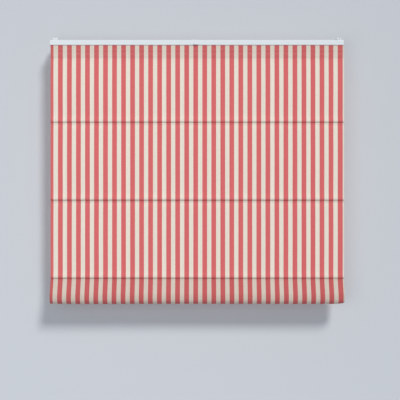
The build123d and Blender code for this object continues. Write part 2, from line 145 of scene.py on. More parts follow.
def sums(tree, operation, first, second=None, third=None):
    """One Math node; returns what it puts out."""
    node = add_node(tree, "Math")
    node.operation = operation
    for socket, value in zip(node.inputs, (first, second, third)):
        if value is not None:
            feed(tree, socket, value)
    return node.outputs[0]


def mix_shaders(tree, share, first, second, output):
    """Give an output the first shader and, by a share, the second."""
    mix = add_node(tree, "MixShader")
    for socket, value in zip(mix.inputs, (share, first, second)):
        tree.links.new(value, socket)
    tree.links.new(mix.outputs[0], tree.nodes[output].inputs["Surface"])


def new_material(name):
    """A material, its node tree and its shader."""
    material = bpy.data.materials.new(name)
    material.use_nodes = True
    return material, material.node_tree, material.node_tree.nodes["Principled BSDF"]


def new_group(name, numbers, outputs):
    """An empty group that takes a vector and named numbers, its input node and its output node."""
    group = bpy.data.node_groups.new(name, "ShaderNodeTree")
    group.interface.new_socket("Vector", in_out="INPUT", socket_type="NodeSocketVector")
    for label, value in numbers.items():
        socket = group.interface.new_socket(label, in_out="INPUT", socket_type="NodeSocketFloat")
        socket.default_value = value
    for label in outputs:
        group.interface.new_socket(label, in_out="OUTPUT", socket_type="NodeSocketFloat")
    return group, group.nodes.new("NodeGroupInput"), group.nodes.new("NodeGroupOutput")


def place_group(tree, group, **values):
    """Put a group in a tree and feed it."""
    node = add_node(tree, "Group")
    node.node_tree = group
    feed_all(tree, node, **values)
    return node


def stretched(tree, vector, along_x, along_y, along_z=0.0):
    """The vector with each of its parts times a number."""
    node = add_node(tree, "VectorMath", Vector=vector)
    node.operation = "MULTIPLY"
    node.inputs[1].default_value = (along_x, along_y, along_z)
    return node.outputs[0]


def noise(tree, vector, scale, detail):
    """Noise from 0 to 1 at a scale."""
    return add_node(tree, "TexNoise", Vector=vector, Scale=scale, Detail=detail).outputs["Fac"]


def tinted(tree, shader, colour, shade):
    """Feed the shader with a colour made lighter and darker by a shade."""
    tint = add_node(tree, "VectorMath")
    tint.operation = "SCALE"
    feed(tree, tint.inputs[0], colour)
    feed(tree, tint.inputs["Scale"], shade)
    feed(tree, shader.inputs["Base Color"], tint.outputs[0])


def embossed(tree, shader, height, strength, depth):
    """Feed the shader's normal with a bump."""
    relief = add_node(tree, "Bump", Strength=strength, Distance=depth, Height=height)
    feed(tree, shader.inputs["Normal"], relief.outputs["Normal"])


print("node helpers ready")

# %% [markdown]
# ## A small studio
# The blind hangs before a pale backdrop over a pale floor. A curved sweep of paper would do too, but two
# flat faces are simpler. Only the camera sees the backdrop, so it keeps no light from the back of the
# cloth.

# %% Build the backdrop and the floor
wall_gap = 0.06
wall_size = (9, 5)
wall_middle_height = 0.9
floor_size = (60, 60)
floor_level = -1.6


def stage_plane(name, size, location, rotation):
    """One flat face of the stage."""
    mesh = bpy.data.meshes.new(name)
    half_width, half_height = size[0] / 2, size[1] / 2
    corners = [(-half_width, -half_height, 0), (half_width, -half_height, 0),
               (half_width, half_height, 0), (-half_width, half_height, 0)]
    mesh.from_pydata(corners, [], [(0, 1, 2, 3)])
    plane = bpy.data.objects.new(name, mesh)
    plane.location = location
    plane.rotation_euler = rotation
    scene.collection.objects.link(plane)
    return plane


upright = (math.radians(90), 0, 0)
wall = stage_plane("studio_wall", wall_size, (0, wall_gap, wall_middle_height), upright)
for kind_of_ray in ("visible_diffuse", "visible_glossy", "visible_transmission", "visible_shadow"):
    setattr(wall, kind_of_ray, False)
floor = stage_plane("studio_floor", floor_size, (0, 0, floor_level), (0, 0, 0))
print("backdrop", wall_gap, "m behind the mounting plane, floor at", floor_level, "m")

# %% [markdown]
# ## Paint for the stage
# The backdrop would hide the blind from behind and edge on. It could be moved for those views; instead its
# paint turns clear there. Backfacing says which side is seen, and Layer Weight how slanted the view is.

# %% Mix the stage paint
stage_colour = (0.56, 0.59, 0.63, 1)
slant_still_painted = 0.35
slant_quite_clear = 0.65


def stage_material(name, turns_clear):
    """Matt pale paint; it can turn clear from behind and edge on."""
    material, tree, paint = new_material(name)
    feed_all(tree, paint, Base_Color=stage_colour, Roughness=0.9, Specular_IOR_Level=0.0)
    if turns_clear:
        clear = add_node(tree, "BsdfTransparent")
        side = add_node(tree, "NewGeometry")
        slant = add_node(tree, "LayerWeight")
        edge_on = add_node(tree, "MapRange", Value=slant.outputs["Facing"],
                           From_Min=slant_still_painted, From_Max=slant_quite_clear)
        hidden = sums(tree, "MAXIMUM", side.outputs["Backfacing"], edge_on.outputs["Result"])
        mix_shaders(tree, hidden, paint.outputs["BSDF"], clear.outputs["BSDF"], "Material Output")
    return material


wall.data.materials.append(stage_material("studio wall paint", True))
floor.data.materials.append(stage_material("studio floor paint", False))
print("stage painted", stage_colour[:3])

# %% [markdown]
# ## The world
# The world lights the blind evenly. Bright enough to make the distance pale, it would bleach the cloth, so
# Light Path tells the rays apart: camera and glossy rays see the stage colour, all others the dim light.

# %% Light the world
world = bpy.data.worlds.new("studio")
scene.world = world
world.use_nodes = True
world_tree = world.node_tree
ambient = world_tree.nodes["Background"]
feed_all(world_tree, ambient, Color=(0.93, 0.96, 1.0, 1), Strength=0.32)
backdrop = add_node(world_tree, "Background", Color=stage_colour, Strength=1.0)
rays = add_node(world_tree, "LightPath")
seen = sums(world_tree, "MAXIMUM", rays.outputs["Is Camera Ray"], rays.outputs["Is Glossy Ray"])
mix_shaders(world_tree, seen, ambient.outputs[0], backdrop.outputs[0], "World Output")
print("world light", ambient.inputs["Strength"].default_value)

# %% [markdown]
# ## The lamps
# The shade falls to the lower left, so the main light comes from the upper right. A near lamp would light
# one side more; a sun with a wide angle lights the whole width evenly. One soft box fills the shade, and
# another lights the back.

# %% Hang the lamps


def add_lamp(name, kind, place, colour, **settings):
    """A lamp at a place, aimed at the middle of the blind."""
    data = bpy.data.lights.new(name, kind)
    data.color = colour
    for setting, value in settings.items():
        setattr(data, setting, value)
    lamp = bpy.data.objects.new(name, data)
    lamp.location = place
    blind_middle = Vector((0, 0, (cad_low.z + cad_high.z) / 2))
    lamp.rotation_euler = (blind_middle - lamp.location).to_track_quat("-Z", "Y").to_euler()
    scene.collection.objects.link(lamp)


add_lamp("key light", "SUN", (1.3, -2.6, 2.1), (1.0, 0.985, 0.96), energy=2.2, angle=math.radians(14))
add_lamp("fill soft box", "AREA", (-0.9, -2.8, -0.6), (0.97, 0.98, 1.0), energy=17, size=1.8)
add_lamp("back soft box", "AREA", (0.9, 2.6, 0.5), (1.0, 0.99, 0.97), energy=44, size=1.8)

# %% [markdown]
# ## Threads that cross
# In plain weave each thread goes over one and under the next. A picture of cloth would show it, but two
# waves do it at any size: one counts the warp and one the weft, and where their signs agree the warp lies
# on top.

# %% Group: threads that cross over and under
crossing, given, out = new_group(
    "crossing threads",
    {"Warp Per Metre": 1700.0, "Weft Per Metre": 1500.0},
    ["Height"],
)
split = add_node(crossing, "SeparateXYZ", Vector=given.outputs["Vector"])
warp_count = sums(crossing, "MULTIPLY", split.outputs["X"], given.outputs["Warp Per Metre"])
weft_count = sums(crossing, "MULTIPLY", split.outputs["Y"], given.outputs["Weft Per Metre"])
warp_wave = sums(crossing, "SINE", sums(crossing, "MULTIPLY", warp_count, math.pi))
weft_wave = sums(crossing, "SINE", sums(crossing, "MULTIPLY", weft_count, math.pi))
warp_over = sums(crossing, "GREATER_THAN", sums(crossing, "MULTIPLY", warp_wave, weft_wave), 0.0)
warp_round = sums(crossing, "ABSOLUTE", warp_wave)
weft_round = sums(crossing, "ABSOLUTE", weft_wave)
difference = sums(crossing, "SUBTRACT", warp_round, weft_round)
height = sums(crossing, "MULTIPLY_ADD", difference, warp_over, weft_round)
feed(crossing, out.inputs["Height"], height)
print(crossing.name, "has", len(crossing.nodes), "nodes")

# %% [markdown]
# ## Uneven yarn
# Cotton yarn takes the dye unevenly and has thick places, called slubs. Both could be painted, but noise
# never repeats: drawn out along the warp it gives streaks, and along the weft slubs.

# %% Group: yarn of uneven thickness and dye
uneven, given, out = new_group("uneven yarn", {"Streak": 0.5, "Slub": 0.5}, ["Shade"])
fine_streak = noise(uneven, stretched(uneven, given.outputs["Vector"], 900, 3), 1.0, 1.0)
wide_streak = noise(uneven, stretched(uneven, given.outputs["Vector"], 170, 1.2), 1.0, 2.0)
slub_mark = noise(uneven, stretched(uneven, given.outputs["Vector"], 45, 1100), 1.0, 2.0)
streaks = sums(uneven, "SUBTRACT", sums(uneven, "MULTIPLY_ADD", wide_streak, 0.8, fine_streak), 0.9)
slubs = sums(uneven, "SUBTRACT", slub_mark, 0.5)
shade = sums(uneven, "MULTIPLY_ADD", streaks, given.outputs["Streak"], 1.0)
shade = sums(uneven, "MULTIPLY_ADD", slubs, given.outputs["Slub"], shade)
feed(uneven, out.inputs["Shade"], shade)
print(uneven.name, "has", len(uneven.nodes), "nodes")

# %% [markdown]
# ## Fine grain
# No coated or moulded surface is quite even: it has a fine grain to the touch, and its shade and gloss
# drift from place to place. One noise at each of the two scales is enough; more wouldn't show.

# %% Group: fine grain and faint mottle of paint, plastic and metal
grain, given, out = new_group(
    "fine grain",
    {"Grain Scale": 900.0, "Mottle Scale": 25.0, "Mottle": 0.05},
    ["Height", "Shade", "Dullness"],
)
grain_height = noise(grain, given.outputs["Vector"], given.outputs["Grain Scale"], 3.0)
wide_noise = noise(grain, given.outputs["Vector"], given.outputs["Mottle Scale"], 3.0)
mottle = sums(grain, "SUBTRACT", wide_noise, 0.5)
feed(grain, out.inputs["Height"], grain_height)
feed(grain, out.inputs["Shade"], sums(grain, "MULTIPLY_ADD", mottle, given.outputs["Mottle"], 1.0))
feed(grain, out.inputs["Dullness"], sums(grain, "MULTIPLY", mottle, 0.25))
print(grain.name, "has", len(grain.nodes), "nodes")

# %% [markdown]
# ## Finishes of the hard parts
# Rail, hooks and bracket are powder coated, caps and housings moulded plastic, shaft and bar bare metal.
# Each could have its own node tree, but one recipe serves them all: a mottled shade, a roughness that
# varies with it, and a bump.

# %% Write the recipe


def hard_finish(name, colour, roughness, metallic=0.0, coat=0.0, grain_scale=900.0, mottle=0.04,
                bump=0.1, bump_depth=0.00004, stretch=(1, 1, 1)):
    """A hard material. A stretch draws its grain out."""
    material, tree, shader = new_material(name)
    place = add_node(tree, "TexCoord")
    vector = stretched(tree, place.outputs["Object"], *stretch)
    effect = place_group(tree, grain, Vector=vector, Grain_Scale=grain_scale, Mottle=mottle)
    tinted(tree, shader, colour, effect.outputs["Shade"])
    embossed(tree, shader, effect.outputs["Height"], bump, bump_depth)
    dullness = sums(tree, "ADD", effect.outputs["Dullness"], roughness)
    feed_all(tree, shader, Roughness=dullness, Metallic=metallic, Coat_Weight=coat)
    return material


finishes = {
    "white_paint": hard_finish("white powder coat", (0.70, 0.75, 0.785), 0.42, grain_scale=1400, bump=0.25),
    "white_plastic": hard_finish("moulded white plastic", (0.73, 0.765, 0.79), 0.45, grain_scale=2500),
    "clear_plastic": hard_finish("glossy natural plastic", (0.80, 0.82, 0.80), 0.2, coat=0.3,
                                 grain_scale=500, bump=0.03),
    "steel": hard_finish("drawn steel", (0.56, 0.57, 0.58), 0.32, metallic=1.0, stretch=(0.05, 1, 1)),
    "spring_steel": hard_finish("blued spring steel", (0.20, 0.24, 0.33), 0.28, metallic=1.0,
                                stretch=(1, 0.1, 0.1)),
    "rod": hard_finish("drawn fibre rod", (0.80, 0.79, 0.70), 0.38, grain_scale=1600, bump=0.2,
                       stretch=(0.02, 1, 1)),
    "bar": hard_finish("mill aluminium", (0.80, 0.81, 0.82), 0.34, metallic=1.0, bump=0.2,
                       stretch=(0.02, 1, 1)),
    "tape": hard_finish("hook and loop tape", (0.70, 0.70, 0.68), 0.95, grain_scale=1500, mottle=0.15,
                        bump=0.9, bump_depth=0.0004),
}
print(len(finishes), "hard finishes")

# %% [markdown]
# ## Soft edges
# A real edge is never quite sharp, and the line of light along it makes a part look solid. The construction
# could round its edges, but a Bevel modifier leaves the mesh as it is.

# %% Give each hard part its finish and soft edges
rail_softness = 0.6
edge_softness = {"white_paint": 0.25, "white_plastic": 0.3, "clear_plastic": 0.25, "steel": 0.15,
                 "bar": 0.2}
sharpest_left_alone = math.radians(40)
hard_parts = [part for part in record["subparts"] if part["material_slot"] in finishes]
for part in hard_parts:
    node = frame["nodes"][part["node"]]
    slot = part["material_slot"]
    node.data.materials.clear()
    node.data.materials.append(finishes[slot])
    if slot in edge_softness:
        softness = rail_softness if part["node"] == "head_rail" else edge_softness[slot]
        bevel = node.modifiers.new("softened edges", "BEVEL")
        bevel.width = softness * mm
        bevel.segments = 2
        bevel.limit_method = "ANGLE"
        bevel.angle_limit = sharpest_left_alone
print(len(hard_parts), "hard parts dressed")

# %% [markdown]
# ## The striped cotton
# The cloth is yarn dyed: red and cream warp threads run down the blind. Strips of red mesh would never
# follow a fold, so the stripes are worked out from the cloth's own flat coordinates, kept in a UV map in
# metres.

# %% Sizes and colours of the stripes
stripe_pitch = 30.67 * mm
red_width = 16.2 * mm
first_red_left = -471.9 * mm
one_thread = 0.4 * mm
cream = (0.775, 0.716, 0.618, 1)
red = (0.660, 0.136, 0.142, 1)
# The tint of the painted shade: the mask on the mesh multiplies the cloth's colour towards it.
painted_shade_tint = (0.38, 0.29, 0.27, 1)
flat_map = "flat cloth"
print("red", round(red_width / stripe_pitch, 2), "of each stripe's pitch")

# %% [markdown]
# ## Stripes as a mask
# The group measures how far a point is from the middle of the nearest red stripe: near it the mask is 1,
# further off 0. A hard step would flicker, so it changes over one thread's width.

# %% Group: stripes across the cloth
stripes, given, out = new_group(
    "woven stripes",
    {"Pitch": stripe_pitch, "Width": red_width, "Start": first_red_left, "Edge": one_thread},
    ["Mask"],
)
split = add_node(stripes, "SeparateXYZ", Vector=given.outputs["Vector"])
half_stripe = sums(stripes, "MULTIPLY", given.outputs["Width"], 0.5)
from_start = sums(stripes, "SUBTRACT", split.outputs["X"], given.outputs["Start"])
from_middle = sums(stripes, "SUBTRACT", from_start, half_stripe)
turns = sums(stripes, "DIVIDE", from_middle, given.outputs["Pitch"])
phase = sums(stripes, "SUBTRACT", sums(stripes, "FRACT", sums(stripes, "ADD", turns, 100.5)), 0.5)
off_middle = sums(stripes, "MULTIPLY", sums(stripes, "ABSOLUTE", phase), given.outputs["Pitch"])
inside = sums(stripes, "DIVIDE", sums(stripes, "SUBTRACT", half_stripe, off_middle), given.outputs["Edge"])
mask = add_node(stripes, "Clamp", Value=sums(stripes, "ADD", inside, 0.5))
feed(stripes, out.inputs["Mask"], mask.outputs[0])
print(stripes.name, "has", len(stripes.nodes), "nodes")

# %% [markdown]
# ## The two sides of the cloth
# The back shows less red than the face, because the weft covers more of it. Double cloth lets less light
# through and looks darker and greyer; here that darkening is painted shade. A mask kept on the mesh darkens
# the colour where the cloth lies double, in the creases of the tucks, in the shadow under the rail and
# lower down, and it stays with the cloth in every pose.

# %% Mix the two cloth finishes


def cloth_finish(name, red_share, sheen):
    """Striped plain weave. red_share is how much of the red shows on this side."""
    material, tree, shader = new_material(name)
    flat = add_node(tree, "UVMap")
    flat.uv_map = flat_map
    weave = place_group(tree, crossing, Vector=flat.outputs[0])
    yarn = place_group(tree, uneven, Vector=flat.outputs[0], Streak=0.22, Slub=0.12)
    stripe = place_group(tree, stripes, Vector=flat.outputs[0])
    colour = add_node(tree, "Mix")
    colour.data_type = "RGBA"
    feed(tree, colour.inputs["Factor"], sums(tree, "MULTIPLY", stripe.outputs["Mask"], red_share))
    colour.inputs["A"].default_value = cream
    colour.inputs["B"].default_value = red
    # Painted shade: the mask on the mesh multiplies the colour towards a warm dark tint.
    painted_shade = add_node(tree, "Attribute")
    painted_shade.attribute_name = "painted_shade"
    shaded_colour = add_node(tree, "Mix")
    shaded_colour.data_type = "RGBA"
    shaded_colour.blend_type = "MULTIPLY"
    feed(tree, shaded_colour.inputs["Factor"], painted_shade.outputs["Fac"])
    feed(tree, shaded_colour.inputs["A"], colour.outputs["Result"])
    shaded_colour.inputs["B"].default_value = painted_shade_tint
    # Painted shade: the hollows between the threads are darker.
    hollow_shade = sums(tree, "MULTIPLY_ADD", weave.outputs["Height"], 0.12, 0.92)
    tinted(tree, shader, shaded_colour.outputs["Result"], sums(tree, "MULTIPLY", hollow_shade, yarn.outputs["Shade"]))
    embossed(tree, shader, weave.outputs["Height"], 0.5, 0.00012)
    feed_all(tree, shader, Roughness=0.88, Specular_IOR_Level=0.25, Sheen_Weight=sheen, Sheen_Roughness=0.5)
    return material


cloth_face = cloth_finish("striped cotton, face", 1.0, 0.08)
cloth_back = cloth_finish("striped cotton, back", 0.82, 0.05)
print("cloth finishes:", cloth_face.name, "/", cloth_back.name)

# %% [markdown]
# ## Drawing the cloth's path
# From the side, the cloth is a line of straight runs and round bends. A hand-drawn curve would bulge at its
# folds, so the line is drawn as a walk: start at a point, face a way, go straight or turn. Every fold is a
# true arc, and the walk is as long as the cloth to cut.

# %% Helper: a walk in the side view
cloth_thickness = 0.7 * mm
panel_low, panel_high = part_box("fabric_panel")
cloth_left = panel_low.x
cloth_right = panel_high.x
cloth_width = cloth_right - cloth_left
behind_rail_front = 1.4 * mm
cloth_plane = rail_low.y + behind_rail_front
longest_step = 3.5 * mm
longest_chord = 2.5 * mm
widest_turn = 12


def walk(start, heading, moves):
    """Points of a path in the side view, and how far along each is. heading is 0 to the back and 90 up.

    A move is ("run", length) or ("bend", radius, degrees), in millimetres; a positive bend turns left.
    """
    y, z = start
    points, lengths = [(y, z)], [0.0]
    for kind, size, *turn in moves:
        size *= mm
        if kind == "run":
            turned = 0.0
            pieces = max(1, round(size / longest_step))
            chord = step = size / pieces
        else:
            turned = turn[0]
            arc = abs(math.radians(turned)) * size
            pieces = max(3, round(abs(turned) / widest_turn), round(arc / longest_chord))
            step = arc / pieces
            chord = 2 * size * math.sin(abs(math.radians(turned)) / pieces / 2)
        for _ in range(pieces):
            heading += turned / pieces / 2
            y += chord * math.cos(math.radians(heading))
            z += chord * math.sin(math.radians(heading))
            heading += turned / pieces / 2
            points.append((y, z))
            lengths.append(lengths[-1] + step)
    return np.array(points), np.array(lengths)


def inner_side(path):
    """For each point of a path, the way to the back of the cloth."""
    step = np.gradient(path, axis=0)
    step /= np.linalg.norm(step, axis=1)[:, None]
    return np.stack([-step[:, 1], step[:, 0]], axis=1)


print("cloth", round(cloth_width, 3), "m wide")

# %% [markdown]
# ## From a path to a grid
# The line is repeated across the width. A swept curve would give the surface, but a grid also keeps what
# each point needs: its place on the flat cloth, its share of the motion (ease) and how much shade is
# painted on it.

# %% Helper: a grid of cloth


def grid(path, along, xs, flat_xs, insets, ease, painted_shade, bulge, turned):
    """The path repeated at each x, set in from it and pushed out by the bulge."""
    side = inner_side(path)
    push = turned[:, None] * insets[None, :] - bulge(xs[None, :], path[:, 1][:, None])
    points = np.empty((len(path), len(xs), 3))
    points[..., 0] = xs[None, :]
    points[..., 1] = path[:, 0][:, None] + side[:, 0][:, None] * push
    points[..., 2] = path[:, 1][:, None] + side[:, 1][:, None] * push
    flat = np.empty((len(path), len(xs), 2))
    flat[..., 0] = flat_xs[None, :]
    flat[..., 1] = -along[:, None]
    spread = np.ones(len(xs))
    return points, flat, ease[:, None] * spread, painted_shade[:, None] * spread


def near(distance, reach):
    """1 at no distance, and next to nothing beyond twice the reach."""
    return np.exp(-((distance / reach) ** 2))


def ramp(value, start, end):
    """0 before start, 1 after end, with a soft rise between."""
    share = np.clip((value - start) / (end - start), 0, 1)
    return share * share * (3 - 2 * share)


def waves(x, z, seed):
    """Slow unevenness of hanging cloth, from -1 to 1, the same at each run."""
    total = 0
    for n in range(1, 5):
        turn = 1.7 * seed + 2.3 * n
        total = total + np.sin(x * (5.1 * n + seed) + z * (3.7 * n - 2 * seed) + turn) / n
    return total / 2.1


print("grid helpers ready")

# %% [markdown]
# ## From grids to cloth
# Grids that share an edge are joined into one mesh. Two layers drawn by hand would never keep their
# distance, so it is a single layer: a Solidify modifier gives it the thickness of the cotton and puts the
# back's finish on the inner side.

# %% Helpers: one mesh of cloth
shared_edge_gap = 2e-6


def textile(name, points, faces, flats, marks, materials):
    """A smooth mesh in the scene. flats is its flat map; marks are named numbers, one for each point."""
    mesh = bpy.data.meshes.new(name)
    mesh.from_pydata(np.concatenate(points).tolist(), [], faces)
    mesh.uv_layers.new(name=flat_map).data.foreach_set("uv", np.array(flats, np.float32).ravel())
    for label, values in marks.items():
        attribute = mesh.attributes.new(label, "FLOAT", "POINT")
        attribute.data.foreach_set("value", np.concatenate(values).astype(np.float32))
    mesh.polygons.foreach_set("use_smooth", [True] * len(mesh.polygons))
    for material in materials:
        mesh.materials.append(material)
    piece = bpy.data.objects.new(name, mesh)
    scene.collection.objects.link(piece)
    return piece


def cloth_mesh(name, grids):
    """One mesh from several grids that share edges."""
    points, faces, flats, eases, masks, first = [], [], [], [], [], 0
    for place, flat, ease, painted_shade in grids:
        rows, columns = place.shape[:2]
        index = first + np.arange(rows * columns).reshape(rows, columns)
        corners = (index[:-1, :-1], index[1:, :-1], index[1:, 1:], index[:-1, 1:])
        faces.append(np.stack([c.ravel() for c in corners], axis=1))
        points.append(place.reshape(-1, 3))
        flats.append(flat.reshape(-1, 2))
        eases.append(ease.ravel())
        masks.append(painted_shade.ravel())
        first += rows * columns
    faces = np.concatenate(faces)
    flats = np.concatenate(flats)[faces.ravel()]
    marks = {"ease": eases, "painted_shade": masks}
    piece = textile(name, points, faces.tolist(), flats, marks, (cloth_face, cloth_back))
    weld = bmesh.new()
    weld.from_mesh(piece.data)
    bmesh.ops.remove_doubles(weld, verts=weld.verts, dist=shared_edge_gap)
    weld.to_mesh(piece.data)
    weld.free()
    thick = piece.modifiers.new("cotton thickness", "SOLIDIFY")
    thick.thickness = cloth_thickness
    thick.offset = 0.0
    thick.use_even_offset = True
    thick.material_offset = 1
    return piece


def take_ease(piece):
    """Read the ease of the piece's points; nothing more is done with it."""
    ease = np.empty(len(piece.data.vertices), np.float32)
    piece.data.attributes["ease"].data.foreach_get("value", ease)


print("cloth is", cloth_thickness / mm, "mm thick")

# %% [markdown]
# ## The side turns
# At both sides the cloth is turned under and sewn down. A thicker edge would look the same in front, but
# from the side the turn tells cloth from card. The front ends in half of a small round fold, and a strip
# behind it starts with the other half.

# %% Helpers: columns across the width, turned under at both sides
column_step = 4 * mm
hem_return = 20 * mm
hem_fold = 0.5 * mm
strip_columns = 6
side_pull = 1.35 * mm
side_pull_reach = 17 * mm
fold_turns = np.radians(np.arange(0, 181, 30))
near_half, far_half = fold_turns[1:4], fold_turns[3:]
inner_columns = np.linspace(cloth_left + hem_fold, cloth_right - hem_fold,
                            round(cloth_width / column_step) + 1)
front_columns = np.concatenate([
    cloth_left + hem_fold * (1 - np.sin(far_half)),
    inner_columns[1:-1],
    cloth_right - hem_fold * (1 - np.sin(far_half[::-1])),
])
front_insets = np.concatenate([
    hem_fold * (1 + np.cos(far_half)),
    np.zeros(len(inner_columns) - 2),
    hem_fold * (1 + np.cos(far_half[::-1])),
])


def drawn_out(xs):
    """Flat x of the front: the side turns pull the outermost stripes a little further out."""
    near_left = near(xs - cloth_left, side_pull_reach)
    near_right = near(cloth_right - xs, side_pull_reach)
    return xs + side_pull * (near_left - near_right)


def hem_columns(side):
    """x, flat x and inset of the strip turned under at one side, from the cloth's cut edge to the fold."""
    edge = cloth_left if side < 0 else cloth_right
    strip = np.linspace(hem_return, hem_fold, strip_columns)
    xs = np.concatenate([edge - side * strip, edge - side * hem_fold * (1 - np.sin(near_half))])
    insets = np.concatenate([np.full(strip_columns, 2 * hem_fold), hem_fold * (1 + np.cos(near_half))])
    beyond_edge = np.concatenate([strip + hem_fold * 0.57, hem_fold * np.array([0.4, 0.2, 0])])
    flat_xs = edge + side * beyond_edge - side * side_pull
    if side > 0:
        return xs[::-1], flat_xs[::-1], insets[::-1]
    return xs, flat_xs, insets


def dressed_grids(path, along, ease, painted_shade, bulge, hem_rows):
    """The front of a stretch of cloth and, over the rows that have them, the strips turned under."""
    rows_in = np.interp(np.arange(len(path)), [hem_rows[0] - 3, hem_rows[0]], [0, 1])
    front_flat = drawn_out(front_columns)
    made = [grid(path, along, front_columns, front_flat, front_insets, ease, painted_shade, bulge, rows_in)]
    rows = slice(*hem_rows)
    for side in (-1, 1):
        xs, flat_xs, insets = hem_columns(side)
        made.append(grid(path[rows], along[rows], xs, flat_xs, insets, ease[rows], painted_shade[rows], bulge,
                         rows_in[rows]))
    return made


print(len(front_columns), "columns across", round(cloth_width, 3), "m")

# %% [markdown]
# ## Where the tucks are
# At a tuck the cloth rolls back over a small lip, goes behind, round a rod and out again under it. The
# tucks could be placed by eye, but the rods are in the construction and give their levels.

# %% Places of the tucks
rod_boxes = [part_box(f"fold_rod_{n}") for n in (1, 2, 3)]
tuck_levels = [(low.z + high.z) / 2 for low, high in rod_boxes]
rod_plane = (rod_boxes[0][0].y + rod_boxes[0][1].y) / 2
lip_radius = 2.2
neck_half = 0.36 * mm
lip_height = neck_half + lip_radius * mm
heading_top = panel_high.z
heading_height = 32.0
heading_gap = 0.42
print("tucks at", [round(z, 3) for z in tuck_levels], "rod plane", round(rod_plane, 4))

# %% [markdown]
# ## How a section hangs
# Above a tuck the rod pushes the cloth forward, and below it the cloth starts further back, so the edge
# throws a fine shadow. A simulation would do this too, but it would move the creases, whose places are
# known.

# %% Helpers: the bulge and the painted shade of a section
# Painted shade on the sections: darker lower down, in the creases above and below each tuck, on the
# heading, and a painted shadow just under the rail.
away_from_light = {1: 0.0, 2: 0.02, 3: 0.05}
above_tuck_shade = {1: 0.24, 2: 0.28, 3: 0.24}
below_tuck_shade = {2: 0.12, 3: 0.26}
heading_shade = 0.25
under_rail_shade = 0.4
wide_tuck_shade = 0.05


def section_bulge(top, bottom, seed):
    """How far a section stands forward at a place, between two tucks."""
    def bulge(x, z):
        share = np.clip((top - z) / (top - bottom), 0, 1)
        hang = 1.4 * np.sin(np.pi * share) ** 2
        above_tuck = 2.5 * near(z - bottom - 0.004, 0.012) * ramp(z, bottom, bottom + 0.0035)
        below_tuck = -1.7 * near(top - z, 0.014) * ramp(-z, -top, 0.0035 - top)
        uneven_hang = 0.5 * waves(x, z, seed) * ramp(z, bottom, bottom + 0.03) * ramp(-z, -top, 0.02 - top)
        return (hang + above_tuck + below_tuck + uneven_hang) * mm
    return bulge


def section_shade(number, heights, top, bottom):
    """The painted shade of a section, for each height on its path: the heading, a painted shadow under the
    rail, the creases at the tucks, and more in the lower sections.
    """
    shade = heading_shade * ramp(heights, heading_top - 0.07, heading_top - 0.015) + away_from_light[number]
    shade += under_rail_shade * ramp(heights, heading_top - 0.003, heading_top)
    shade += above_tuck_shade[number] * near(heights - bottom - neck_half, 0.0032)
    shade += wide_tuck_shade * near(heights - bottom - neck_half, 0.011)
    if number > 1:
        shade += below_tuck_shade[number] * near(top - neck_half - heights, 0.0045)
    return shade


print("the cloth lies double at the heading, in", len(tuck_levels), "tucks and in the loop")

# %% [markdown]
# ## The three flat sections
# The first starts with the heading, a flap folded over the top; the others start under a tuck. All could be
# one mesh, but in a raised blind each stretch moves with the rods at its two ends, so each is its own
# piece.
# They meet inside the tucks.

# %% Sew the sections
rows_in_lip = 8
held_by_heading = 0.05
held_by_tuck = 0.006
section_paths, section_hems = {}, {}


def sew_section(number, name):
    """A section from its top to the middle of the tuck below it. The first one has the heading."""
    bottom = tuck_levels[number - 1]
    into_tuck = ("bend", lip_radius, 90)
    if number == 1:
        flap_start = (cloth_plane + 2 * heading_gap * mm, heading_top - heading_height * mm)
        top = heading_top
        to_lip = (top - bottom - lip_height) / mm - heading_gap
        over_the_top = [("run", heading_height - heading_gap), ("bend", heading_gap, 180)]
        path, along = walk(flap_start, 90, [*over_the_top, ("run", to_lip), into_tuck])
        fold_row = int(np.argmax(path[:, 1]))
        along = along - along[fold_row]
        hem_start = fold_row + int(np.argmax(path[fold_row:, 1] < flap_start[1] - 0.001))
    else:
        top = tuck_levels[number - 2]
        out_of_tuck = (cloth_plane + lip_radius * mm, top - neck_half)
        to_lip = (top - bottom - 2 * lip_height) / mm
        path, along = walk(out_of_tuck, 180, [("bend", lip_radius, 90), ("run", to_lip), into_tuck])
        hem_start = rows_in_lip
    free_top = top - (held_by_heading if number == 1 else held_by_tuck)
    free_bottom = bottom + held_by_tuck
    ease = np.clip((free_top - path[:, 1]) / (free_top - free_bottom), 0, 1)
    painted_shade = section_shade(number, path[:, 1], top, bottom)
    if number == 1:
        ease[:fold_row] = 0
        painted_shade[:fold_row] = heading_shade
    bulge = section_bulge(top - (0.04 if number == 1 else lip_height), bottom + neck_half, number)
    hem_end = len(path) - rows_in_lip - 1
    piece = cloth_mesh(name, dressed_grids(path, along, ease, painted_shade, bulge, (hem_start, hem_end)))
    section_paths[number] = (path, along, ease, bulge)
    section_hems[number] = (along[hem_start], along[hem_end])
    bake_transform(piece)
    take_ease(piece)
    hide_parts("fabric_panel", "fabric_red_stripes")


sew_section(1, "cloth_top_section")
sew_section(2, "cloth_middle_section")
sew_section(3, "cloth_lower_section")

# %% [markdown]
# ## The rod pockets
# Behind each tuck the two layers run back together and part to go round the rod. The angle could be found
# by trial, but it follows from the two radii, so the arcs meet without a corner. The pocket rides with its
# rod, so it is its own mesh.

# %% Sew the rod pockets
ring_radius = 3.15
throat_radius = 0.7
pocket_columns = np.linspace(cloth_left, cloth_right, 126)
flush = np.zeros(len(pocket_columns))
throat_half = throat_radius + neck_half / mm
reach = math.sqrt((ring_radius + throat_radius) ** 2 - throat_half ** 2)
throat_turn = 90 - math.degrees(math.atan2(throat_half, reach))
neck_front = cloth_plane + lip_radius * mm
neck_run = (rod_plane - neck_front) / mm - reach
round_the_rod = [
    ("run", neck_run), ("bend", throat_radius, throat_turn), ("bend", ring_radius, -180 - 2 * throat_turn),
    ("bend", throat_radius, throat_turn), ("run", neck_run),
]


